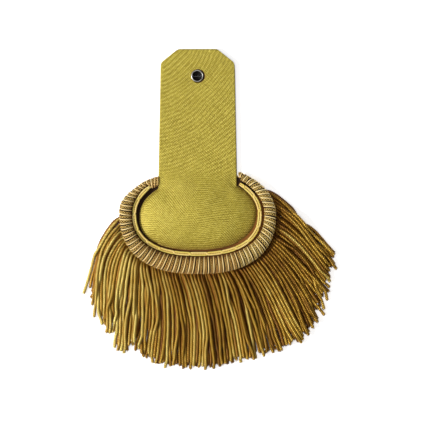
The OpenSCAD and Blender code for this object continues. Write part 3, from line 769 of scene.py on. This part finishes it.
def make_roll():
    # padded core under the wires; its very dark colour is also painted shade in the gaps between the windings
    u = np.linspace(0.002, 0.998, 260)
    a = -np.arange(24) * 2 * np.pi / 24
    rings = np.stack([roll_point(u, np.full(len(u), k), 0.62) for k in a], 1)
    s = Shape()
    s.tube(rings, np.linspace(0, ROLL_LEN[-1], len(u)), 0.0)
    core = s.build("roll_core", CORE, ["bullion_roll"])
    parts = [core]
    # a smooth wire and a chain of two twisted threads wind round it side by side
    # name, finish, half thickness, points a turn, sides, place in the period
    kinds = (
        ("roll_wire", WIRE, 0.44, 56, 8, 0.0),
        ("roll_thread_a", PURL, 0.16, 126, 6, 0.5),
        ("roll_thread_b", PURL, 0.16, 126, 6, 0.5),
    )
    # the windings lie closer at the left end
    close = 5.2
    last = PERIOD * (TURNS + 0.5) - close
    for name, mat, r, per_turn, sides, shift in kinds:
        n = int((TURNS + 1.1) * per_turn)
        turn = (np.arange(n) + 0.5) / per_turn - 1.1
        ang = 2 * np.pi * turn + 2.2
        # a winding is a little uneven
        slip = 0.07 * np.sin(turn * 2.1 + 3 * (shift > 0)) + 0.05 * np.sin(turn * 5.3)
        lean = 0.10 * np.sin(ang)
        place = turn + shift + slip + lean
        place = PERIOD * place - close * (1 - np.exp(-np.maximum(place, 0) / 4))
        place = np.clip(place / last, 0.0006, 0.9994)
        uu = np.interp(place * ROLL_LEN[-1], ROLL_LEN, U_FINE)
        path = roll_point(uu, ang, r + (0.02 if shift == 0 else 0.14))
        ref = np.gradient(roll_section(U_FINE)[0], axis=0)
        ref = unit(np.stack([np.interp(uu, U_FINE, ref[:, k]) for k in range(2)], -1))
        ref = np.column_stack([ref, np.zeros(n)])
        along = length_along(path)
        middle, _, half = roll_section(uu)
        outward = unit(path - np.column_stack([middle, ROLL_Z + half]))
        rad = np.full(n, r)
        # the side towards the pad is in shade
        inside = ease((-np.cos(ang) - 0.62) / 0.3)
        if shift:
            # the two threads cross every 2 mm and leave an eye between
            across = unit(np.cross(outward, unit(np.gradient(path, axis=0))))
            phi = np.pi * along / 2.05 + (np.pi if name.endswith("b") else 0) + 0.5 * np.sin(turn * 7.0)
            wide = np.sign(np.cos(phi)) * np.abs(np.cos(phi)) ** 0.7
            path = path + across * (0.66 * wide)[:, None] + outward * (0.12 * np.sin(phi))[:, None]
            rad = r * (0.9 + 0.2 * np.abs(np.cos(phi)))
        s = Shape()
        rings = tube_rings(path, rad, sides, ref=ref)
        # painted shade: each wire and thread is darkened on its side sunk towards the core
        sunk = -np.sum((rings - path[:, None]) * outward[:, None], -1) / r
        groove = ease((sunk + (0.68 if shift else 0.5)) / 0.9)
        if shift:
            groove = groove + 0.8 * inside[:, None]
        else:
            groove = groove + 0.15 * inside[:, None]
        # painted light: light thrown back by the fringe on the right lessens the painted shade there, and the threads
        # are made paler on the left, where the light falls, and on the right
        groove = groove * (1 - 0.8 * ease((path[:, 0] - 10) / 40))[:, None]
        shade = 1.3 * ease((-path[:, 0] - 22) / 28) + 2.4 * ease((path[:, 0] - 20) / 25)
        s.tube(rings, along, shade[:, None] if shift else 0.5 * shade[:, None], groove=np.clip(groove, 0, 1))
        parts.append(s.build(name, mat, ["bullion_roll"]))
    return parts


# ------------------------------------------------------------------ fringe
# One row for each lock of cords, from the left round to the upper right.
# Columns: X and Y, from the ovals' middle, of where the lock shows from under
# the roll, of two places on its way, and of its cut end.
LOCKS = np.array([
    (-61.5,   -4.1,   -72.0,  -18.4,   -78.4,  -38.6,   -84.0,  -62.6),
    (-60.0,   -7.1,   -71.2,  -27.4,   -75.8,  -51.4,   -79.1,  -76.1),
    (-61.5,  -16.9,   -70.5,  -34.9,   -73.1,  -57.4,   -71.2,  -83.6),
    (-60.0,  -21.4,   -67.5,  -37.1,   -69.0,  -59.6,   -67.5,  -88.1),
    (-59.2,  -25.9,   -63.8,  -43.9,   -65.6,  -64.9,   -65.6,  -92.6),
    (-57.8,  -28.9,   -58.5,  -44.6,   -63.0,  -64.9,   -63.8,  -85.1),
    (-55.5,  -31.1,   -56.6,  -48.4,   -60.0,  -70.9,   -61.9, -100.1),
    (-52.5,  -33.4,   -53.6,  -48.4,   -57.0,  -72.4,   -57.8, -103.9),
    (-50.2,  -35.6,   -50.6,  -53.6,   -53.2,  -76.1,   -54.4, -105.0),
    (-47.2,  -37.1,   -48.0,  -53.6,   -49.1,  -76.1,   -52.5,  -98.6),
    (-45.8,  -38.6,   -44.6,  -53.6,   -45.0,  -76.1,   -48.8,  -96.4),
    (-44.2,  -39.4,   -42.0,  -51.4,   -42.0,  -73.9,   -46.5, -103.1),
    (-42.8,  -40.1,   -39.0,  -53.6,   -39.0,  -76.1,   -42.0, -107.6),
    (-40.5,  -41.6,   -36.4,  -57.4,   -35.6,  -79.9,   -37.9, -109.1),
    (-36.8,  -43.1,   -33.0,  -58.9,   -31.5,  -83.6,   -33.8, -110.6),
    (-32.2,  -43.9,   -28.1,  -61.1,   -26.6,  -83.6,   -29.2, -113.6),
    (-27.8,  -44.2,   -23.2,  -61.1,   -21.4,  -83.6,   -24.0, -115.9),
    (-24.0,  -44.6,   -19.5,  -58.9,   -15.8,  -79.9,   -18.0, -113.6),
    (-19.5,  -45.0,   -15.4,  -61.1,   -12.0,  -83.6,   -13.1, -115.9),
    (-15.0,  -45.4,   -10.1,  -63.4,    -7.5,  -85.9,    -8.2, -115.1),
    (-9.8,   -45.8,    -4.5,  -63.4,    -1.1,  -85.9,    -2.2, -115.9),
    (-5.2,   -46.1,     0.4,  -63.4,     4.9,  -85.9,     5.2, -115.9),
    (0.0,    -46.1,     5.6,  -63.4,     9.0,  -85.9,    10.9, -116.2),
    (4.5,    -46.1,    10.1,  -64.9,    14.2,  -87.4,    16.5, -115.1),
    (10.5,   -45.8,    15.4,  -62.6,    19.5,  -85.1,    22.5, -112.5),
    (16.5,   -45.0,    21.4,  -61.1,    27.0,  -82.1,    31.5, -111.4),
    (22.5,   -44.2,    28.9,  -58.9,    35.2,  -83.6,    39.8, -110.6),
    (28.5,   -43.1,    36.4,  -59.6,    43.5,  -83.6,    49.5, -106.5),
    (34.5,   -41.2,    43.5,  -58.1,    51.8,  -81.4,    60.8, -103.1),
    (39.8,   -39.8,    50.2,  -56.6,    60.0,  -77.6,    69.8,  -99.4),
    (45.0,   -36.8,    57.0,  -55.1,    67.5,  -74.6,    78.0,  -96.0),
    (50.2,   -33.4,    61.5,  -49.9,    71.2,  -69.4,    81.8,  -90.4),
    (54.0,   -30.4,    66.0,  -46.9,    75.8,  -64.9,    84.8,  -86.6),
    (56.2,   -28.1,    70.5,  -48.4,    78.8,  -63.4,    88.5,  -82.9),
    (57.8,   -24.4,    74.2,  -43.9,    84.0,  -58.9,    96.0,  -74.6),
    (58.5,   -19.9,    75.8,  -35.6,    87.0,  -50.6,    97.9,  -66.4),
    (58.9,   -14.6,    75.8,  -27.4,    87.8,  -42.4,    99.0,  -58.1),
    (58.9,    -7.9,    75.0,  -19.9,    87.8,  -34.9,    99.8,  -51.4),
    (58.1,    -0.4,    74.2,  -12.4,    87.0,  -27.4,    96.8,  -43.1),
    (54.4,    10.9,    71.0,   -2.4,    88.0,  -21.9,   103.1,  -41.6),
    (48.0,   20.2,    63.0,    9.9,    81.0,   -8.4,   103.5,  -33.0),
]).reshape(-1, 4, 2)
CORD_R = 1.3
SAMPLES = 46
# Columns: cords, how far out under the roll they start, height there, the
# shortest and longest share of the lock's length, wander in mm, height outside
LAYERS = (
    (74, 0.05, 1.00, 0.93, 0.985, 0.8, 1.3),
    (66, 0.50, 2.00, 0.945, 0.998, 1.1, 3.1),
    (64, 0.80, 2.80, 0.96, 1.012, 1.1, 4.8),
)


def lock_at(k):
    i = int(np.clip(math.floor(k), 0, len(LOCKS) - 2))
    f = k - i
    return LOCKS[i] * (1 - f) + LOCKS[i + 1] * f


def lock_places():
    """Each lock's place across the fringe: the room between neighbours, summed."""
    p = np.pad(LOCKS, ((0, 0), (1, 1), (0, 0)), mode="edge")
    d = p[:, 2:] - p[:, :-2]
    d = unit(d[1:] + d[:-1])
    v = LOCKS[1:] - LOCKS[:-1]
    wide = v[..., 1] * d[..., 0] - v[..., 0] * d[..., 1]
    room = np.abs(wide[:, :3]) @ [0.35, 0.4, 0.25]
    return np.concatenate([[0], np.cumsum(room)])


def plan_cords():
    at = lock_places()
    paths, layer, pinned = [], [], []
    for li, (count, out, z0, short, long, wander, zs) in enumerate(LAYERS):
        for c in range(count):
            place = (c + 0.5 + 0.5 * (li == 1) + RNG.uniform(-0.25, 0.25)) / (count + 0.5 * (li == 1))
            k = float(np.interp(np.clip(place, 0.004, 0.996) * at[-1], at, np.arange(len(at))))
            # cords gather into locks towards their cut ends
            pull = 0.5 + 0.3 * (k < 7) + 0.3 * (k > 32)
            near = round(k) + RNG.normal(0, 0.12)
            p = lock_at(k).copy()
            p[2] = lock_at(k + (near - k) * pull * (0.1 if k > 38.2 else 0.5))[2]
            p[3] = lock_at(k + (near - k) * pull)[3]
            s0 = p[0]
            # the root: straight in under the roll
            ang = math.atan2(s0[1], s0[0])
            d = np.array([math.cos(ang), math.sin(ang)])
            r0 = 1 / float(level(np.array(d[0]), np.array(d[1]), MARGIN_A + 0.4, MARGIN_BU + 0.4, MARGIN_BL + 0.4))
            r1 = 1 / float(level(np.array(d[0]), np.array(d[1]), OUT_A, OUT_BU, OUT_BL))
            root = d * (r0 + (r1 - r0) * out)
            pts = np.array([root, d * (r1 + 0.6) * 0.6 + s0 * 0.4, *p[1:]])
            line = even(pts, SAMPLES)
            t = unit(np.gradient(line, axis=0))
            side = np.stack([t[:, 1], -t[:, 0]], -1)
            s = np.linspace(0, 1, SAMPLES)
            ph = RNG.uniform(0, 2 * np.pi, 3)
            free = ease((s - 0.1) / 0.5)
            edge = 0.25 if k > 36.8 else 1.0
            sway = edge * wander * free * (0.7 * np.sin(2.4 * s + ph[0]) + 0.35 * np.sin(5.0 * s + ph[1]))
            line = line + side * sway[:, None]
            line = line + side * (edge * RNG.normal(0, 0.7) * ease(s - 0.15) * s)[:, None]
            cut = RNG.uniform(short, long)
            if RNG.random() < 0.08:
                cut -= RNG.uniform(0.01, 0.04)
            if li < 2 and (k < 6 or k > 33):
                cut *= 0.93
            if k > 38.2:
                cut = RNG.uniform(0.96, 1.0)
            line = even(line[: max(6, int(round(SAMPLES * 1.0)))], SAMPLES)
            full = length_along(line)
            want = np.linspace(0, full[-1] * min(cut, 1.0), SAMPLES)
            line = np.stack([np.interp(want, full, line[:, j]) for j in range(2)], -1)
            if cut > 1.0:
                line = line + (line - line[0]) * (cut - 1.0) * s[:, None] ** 2
            z = z0 + (zs - z0) * ease(s / 0.2)
            z = z * (1 - 0.25 * s)
            paths.append(np.column_stack([line + [FX, CY], np.maximum(z, CORD_R)]))
            layer.append(li)
            dist = length_along(paths[-1])
            pinned.append(np.clip((dist - (1.6 if li else 3.0)) / 5.0, 0, 1))
    return np.array(paths), np.array(layer), np.array(pinned)


def near_pairs(p, owner, reach):
    cell = np.floor(p[:, :2] / reach).astype(np.int64)
    key = cell[:, 0] * 100003 + cell[:, 1]
    order = np.argsort(key, kind="stable")
    sorted_key = key[order]
    ii, jj = [], []
    for dx, dy in ((0, 0), (1, 0), (-1, 1), (0, 1), (1, 1)):
        want = key + dx * 100003 + dy
        lo, hi = np.searchsorted(sorted_key, want, "left"), np.searchsorted(sorted_key, want, "right")
        n = hi - lo
        i = np.repeat(np.arange(len(p)), n)
        first = np.repeat(lo, n)
        step = np.arange(n.sum()) - np.repeat(np.cumsum(n) - n, n)
        j = order[first + step]
        keep = owner[i] != owner[j]
        if (dx, dy) == (0, 0):
            keep &= i < j
        ii.append(i[keep])
        jj.append(j[keep])
    i, j = np.concatenate(ii), np.concatenate(jj)
    d = np.linalg.norm(p[i] - p[j], axis=1)
    k = d < reach
    return i[k], j[k]


def thickness(dist):
    """A cord's half thickness: sewn flat at its root, full from 9 mm out."""
    return CORD_R * (0.62 + 0.38 * ease(dist / 9.0))


def settle(paths, layer, free, steps):
    """Lets the cords sink on each other and on the floor, each near its plan."""
    n, m, _ = paths.shape
    guide = paths.copy()
    p = paths.reshape(-1, 3).copy()
    owner = np.repeat(np.arange(n), m)
    w = free.reshape(-1)
    ease_w = np.repeat(np.array([0.35, 0.6, 1.0])[layer], m)
    rad = np.array([thickness(length_along(q)) for q in paths]).reshape(-1)
    for step in range(steps):
        if step % 8 == 0:
            i, j = near_pairs(p, owner, 4.2)
            wi, wj = w[i] * ease_w[i] + 1e-4, w[j] * ease_w[j] + 1e-4
            share = wi / (wi + wj)
            gap_all = (rad[i] + rad[j]) * 0.97
        p[:, 2] -= 0.12 * w
        q = p.reshape(n, m, 3)
        d = q - guide
        d[:, :, :2] *= 1 - 0.05
        for _ in range(3):
            smooth = d.copy()
            smooth[:, 1:-1] = d[:, 1:-1] * 0.5 + (d[:, :-2] + d[:, 2:]) * 0.25
            smooth[:, -1] = d[:, -1] * 0.3 + (2 * d[:, -2] - d[:, -3]) * 0.7
            d = d * 0.25 + smooth * 0.75
        q = guide + d * np.where(free[..., None] > 0, 1.0, 0.0)
        p = q.reshape(-1, 3)
        for _ in range(2):
            v = p[j] - p[i]
            dist = np.linalg.norm(v, axis=1)
            hit = dist < gap_all
            a, b, v, dist, sh, gap = i[hit], j[hit], v[hit], dist[hit], share[hit], gap_all[hit]
            push = v * ((gap - dist) / np.maximum(dist, 0.05) * 0.45)[:, None]
            live = np.minimum(1, w[a] + w[b])
            for k in range(3):
                p[:, k] -= np.bincount(a, push[:, k] * (sh * live), len(p)) * w
                p[:, k] += np.bincount(b, push[:, k] * ((1 - sh) * live), len(p)) * w
        p[:, 2] = np.maximum(p[:, 2], rad)
    return p.reshape(n, m, 3)


LOBES = {12: np.tile([1.0, 0.90, 0.66, 0.90], 3), 9: np.tile([1.0, 0.77, 0.77], 3), 6: np.tile([1.0, 0.74], 3)}


def cord_rings(path, sides, step, tint):
    """A twisted cord's rings, its length at each, and how deep each point is in its lay."""
    full = length_along(path)
    pitch = 4.3
    n = max(8, int(full[-1] / step))
    at = np.linspace(0, full[-1], n)
    line = catmull(path, np.interp(at, full, np.arange(len(path))))
    line[:, 2] = np.maximum(line[:, 2], thickness(at) * 1.04 + 0.02)
    phase = 2 * np.pi * at / pitch + RNG.uniform(0, 2 * np.pi)
    left = full[-1] - at
    r = thickness(at) * 1.03 * (1 + 0.04 * np.sin(at * 0.9 + tint * 9))
    r = r * np.where(left < 1.6, 1.0 + 0.06 * (1 - left / 1.6), 1.0)
    r[-1] *= 0.82
    lobe = LOBES[sides]
    shade = np.clip((0.95 - lobe) / (0.95 - lobe.min()), 0, 1)[None, :]
    return tube_rings(line, r, sides, phase, lobe), at, np.broadcast_to(shade, (n, sides)), line


def loose_threads(shape, line, count, tint):
    """Threads that stand out of a cord's cut end."""
    tip, back = line[-1], unit(line[-1] - line[-3])
    sd = unit(np.cross(back, [0, 0, 1.0]))
    up = np.cross(sd, back)
    for f in range(count):
        a = RNG.uniform(0, 2 * np.pi)
        spread = RNG.uniform(0.2, 0.9)
        base = tip - back * 0.3 + (sd * math.cos(a) + up * math.sin(a)) * CORD_R * 0.75 * spread
        tipf = base + back * RNG.uniform(0.6, 1.5) + (sd * math.cos(a) + up * math.sin(a)) * RNG.uniform(0.0, 0.4)
        tipf[2] = max(tipf[2], 0.15)
        mid = (base + tipf) / 2 + up * RNG.uniform(-0.1, 0.15)
        fl = np.array([base, mid, tipf])
        fl[:, 2] = np.maximum(fl[:, 2], 0.12)
        # painted shade: loose threads are made darker
        shape.tube(tube_rings(fl, [0.2, 0.17, 0.06], 3), np.arange(3.0), tint - 0.3, groove=0.5)


def top_heights(cords):
    """A height map of the fringe, in 0.8 mm cells, each with its neighbours' highest."""
    cell = 0.8
    pts = np.concatenate([c.reshape(-1, 3) for c in cords])
    low = pts[:, :2].min(0) - 3
    nx, ny = np.ceil((pts[:, :2].max(0) + 3 - low) / cell).astype(int)
    grid = np.zeros((nx, ny))
    i, j = ((pts[:, :2] - low) / cell).astype(int).T
    np.maximum.at(grid, (i, j), pts[:, 2])
    best = grid.copy()
    for dx in (-1, 0, 1):
        for dy in (-1, 0, 1):
            best = np.maximum(best, np.roll(grid, (dx, dy), (0, 1)))
    return lambda p: best[tuple(((p[..., :2] - low) / cell).astype(int).reshape(-1, 2).T)].reshape(p.shape[:-1])


def make_heading():
    """The woven tape that the cords hang from, under the roll's outer edge."""
    t = np.linspace(187, 377, 150)
    inner = oval(t, MARGIN_A + 0.5, MARGIN_BU + 0.5, MARGIN_BL + 0.5)
    wide = 1.6 + 1.8 * ease((t - 325) / 15)
    outer = oval(t, OUT_A + wide, OUT_BU + wide, OUT_BL + wide - 0.6)
    s = Shape()
    sect = [(0.0, 0.25), (0.35, 0.15), (0.7, 0.15), (1.0, 0.2), (1.0, 0.55), (0.7, 0.75), (0.35, 0.8), (0.0, 0.8)]
    wave = 0.06 * np.sin(t * 1.9)
    rings = np.stack([np.column_stack([inner * (1 - q) + outer * q + [RX, CY], z + wave]) for q, z in sect], 1)
    # painted shade: the tape under the roll's edge is darkened in full
    s.tube(rings, length_along(rings[:, 0]), -1.5, groove=1.0)
    return s.build("fringe_heading", FRINGE, ["fringe"])


def make_fringe():
    paths, layer, free = plan_cords()
    paths = settle(paths, layer, free, 110)
    spec = {0: (6, 0.84, 4), 1: (9, 0.50, 6), 2: (12, 0.40, 8)}
    groups = {0: ["fringe_low"], 1: ["fringe_mid_a", "fringe_mid_b"], 2: ["fringe_top_a", "fringe_top_b"]}
    # tone varies at random from cord to cord; painted light and shade on top: lower layers darker, cords on the left
    # lighter, those in the middle and on the right darker, the upper right lighter again
    tints = np.clip(RNG.normal(0, 0.45, len(paths)) + np.array([-0.8, -0.45, 0.25])[layer] + 0.6 * ease((-15 - paths[:, 20, 0]) / 40) - 0.2 * np.exp(-((paths[:, 20, 0] / 32) ** 2)) - 0.75 * ease((paths[:, 20, 0] - 15) / 45)
                   + 0.5 * ease((paths[:, 20, 1] + 150) / 30) * ease((paths[:, 20, 0] - 30) / 20), -1.8, 1.3)
    cords = [cord_rings(q, *spec[li][:2], t) for q, li, t in zip(paths, layer, tints)]
    height = top_heights([c[0] for c in cords])
    made = []
    for li in range(3):
        ids = np.nonzero(layer == li)[0]
        for name, part in zip(groups[li], np.array_split(ids, len(groups[li]))):
            s = Shape()
            for c in part:
                rings, at, lay, line = cords[c]
                # painted shade: cords lying lower than the fringe's top around them are darkened
                deep = ease((height(rings) - rings[..., 2] - 0.2) / 2.2)
                # less light reaches the roots, on the right above all
                east, west = ease((line[:, 0] - 20) / 50), ease((-line[:, 0] - 22) / 35)
                root = ((0.74 + 0.03 * east - 0.40 * west) * np.exp(-at / (20.0 + 5.0 * east)) + 0.06 * east)[:, None]
                # painted shade: flanks are darker than the ridge on top, and the lay's valleys too
                flank = ease((0.78 - (rings[..., 2] - line[:, None, 2]) / CORD_R) / 0.9)
                calm = (1 - 0.72 * east)[:, None]
                s.tube(rings, at, tints[c], groove=np.clip((1.05 * lay + 0.9 * deep + 0.46 * flank) * calm + root, 0, 1))
                loose_threads(s, line, spec[li][2], tints[c])
            made.append(s.build(name, FRINGE, ["fringe"]))
    return made


# ------------------------------------------------------------------ lining
def base_line(inset):
    """The lining's outline: strap, then round the oval and back."""
    e = []
    half = [(0.4, 15.4), (1.5, 16.6), (4.0, 19.7), (6.5, 22.9), (CORNER_Y - 1.6, 25.7), (CORNER_Y - 0.2, 27.1), (CORNER_Y + 1.8, 27.7)]
    right = [(SX + w - inset, END_Y - d - (inset if d < 2 else 0)) for d, w in half]
    t0 = 58.0
    t = np.arange(t0, t0 - 296.01, -4)
    ring = oval(t % 360, MARGIN_A, MARGIN_BU, MARGIN_BL) + [RX, CY]
    join_y = ring[0, 1]
    for y in np.linspace(END_Y - CORNER_Y - 6, join_y + 1.0, 26):
        right.append((SX + float(strap_half(y)) - inset, y))
    right = np.array(right)
    left = right[::-1].copy()
    left[:, 0] = 2 * SX - left[:, 0]
    # the backing shows a little past the strap's right edge, a dark strip that is partly painted shade for that edge
    right[:, 0] += 1.05 * ease((END_Y - 9.0 - right[:, 1]) / 4)
    keep = [p for p in ring if not (abs(p[0] - SX) < NECK_HALF - inset + 0.4 and p[1] > CY)]
    c = np.array([RX, CY])
    keep = np.array([c + (p - c) * (1 - (inset - 0.7) / 50) for p in keep])
    return np.concatenate([right, keep, left])


def make_lining():
    out = base_line(0.7)
    s = Shape()
    steps = [(6.0, 0.03), (2.2, 0.02), (1.2, 0.12), (0.7, 0.02), (0.15, 0.1), (0.0, 0.4), (0.0, 0.7), (0.2, 0.93), (0.6, 0.98), (6.0, 0.98)]
    rings = slab_rings(out, steps)
    start = s.points(rings)
    m, k = rings.shape[:2]
    idx = start + np.arange(m * k).reshape(m, k)
    s.grid(idx, 1.0, np.arange(m, dtype=float), closed=True)
    o = s.build("lining_back", LINING, ["lining"])
    # fill the middle of both faces, round the slit for the button's shank
    import bmesh

    bm = bmesh.new()
    bm.from_mesh(o.data)
    bm.verts.ensure_lookup_table()
    # its lips lie together
    slit = [(2.85 + 0.45 * math.cos(math.radians(a)), 0.05 * math.sin(math.radians(a))) for a in range(-90, 91, 30)]
    slit += [(-2.85 - 0.45 * math.cos(math.radians(a)), 0.05 * math.sin(math.radians(a))) for a in range(90, -91, -30)]
    loops = []
    for z, row in ((0.03, 0), (0.98, m - 1)):
        vs = [bm.verts.new((x * MM, y * MM, z * MM)) for x, y in slit]
        edges = [bm.edges.new((vs[a], vs[(a + 1) % len(vs)])) for a in range(len(vs))]
        bm.verts.ensure_lookup_table()
        ring = [bm.verts[int(v)] for v in idx[row]]
        outer = []
        for a in range(k):
            e = bm.edges.get((ring[a], ring[(a + 1) % k])) or bm.edges.new((ring[a], ring[(a + 1) % k]))
            outer.append(e)
        bmesh.ops.triangle_fill(bm, use_beauty=True, use_dissolve=False, edges=edges + outer)
        loops.append(vs)
        bm.verts.ensure_lookup_table()
    for a in range(len(slit)):
        b = (a + 1) % len(slit)
        bm.faces.new((loops[0][a], loops[0][b], loops[1][b], loops[1][a]))
    bmesh.ops.recalc_face_normals(bm, faces=bm.faces)
    for f in bm.faces:
        f.smooth = True
    bm.to_mesh(o.data)
    bm.free()
    return o


# ------------------------------------------------------------------ make it
import time

T0 = time.time()
strap = make_strap()
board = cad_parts["base"]
board.data.materials.clear()
board.data.materials.append(MARGIN)
eyelet = make_eyelet()
edge = make_edge_cord()
roll = make_roll()
T1 = time.time()
fringe = make_fringe()
heading = make_heading()
T2 = time.time()
lining = make_lining()
print("strap..roll %.1f s, fringe %.1f s" % (T1 - T0, T2 - T1))

# ------------------------------------------------------------------ floor, light, camera
me = bpy.data.meshes.new("floor")
me.from_pydata([(-3, -3, 0), (3, -3, 0), (3, 3, 0), (-3, 3, 0)], [], [(0, 1, 2, 3)])
floor = bpy.data.objects.new("floor", me)
floor.location = (0, 0, -0.0002)
bpy.context.scene.collection.objects.link(floor)
me.materials.append(floor_material())


def area(name, where, size, watts, colour=(1, 1, 1), at=(0.0, -0.1, 0.0)):
    l = bpy.data.lights.new(name, "AREA")
    l.shape, l.size, l.energy, l.color = "DISK", size, watts, colour
    o = bpy.data.objects.new(name, l)
    o.location = where
    o.rotation_euler = (Vector(at) - Vector(where)).to_track_quat("-Z", "Y").to_euler()
    bpy.context.scene.collection.objects.link(o)
    return o


area("key", (-1.22, -0.22, 1.06), 0.24, 25, (1.0, 0.99, 0.97))
area("fill", (-0.25, -0.15, 1.6), 0.9, 6.0, (1.0, 0.99, 0.98))
w = bpy.data.worlds.new("studio")
bpy.context.scene.world = w
w.use_nodes = True
w.node_tree.nodes["Background"].inputs["Color"].default_value = (1, 1, 1, 1)
w.node_tree.nodes["Background"].inputs["Strength"].default_value = 0.2

cam = bpy.data.cameras.new("camera")
cam.sensor_width = 36
DIST = 1.6
cam.lens = 36 * (DIST - 0.003) / 0.3225
cam_o = bpy.data.objects.new("camera", cam)
cam_o.location = (0.01335, -0.10425, DIST)
cam_o.rotation_euler = (0, 0, 0)
bpy.context.scene.collection.objects.link(cam_o)
bpy.context.scene.camera = cam_o
bpy.context.scene.view_settings.view_transform = "Standard"
bpy.context.scene.view_settings.look = "None"

bpy.context.view_layer.update()
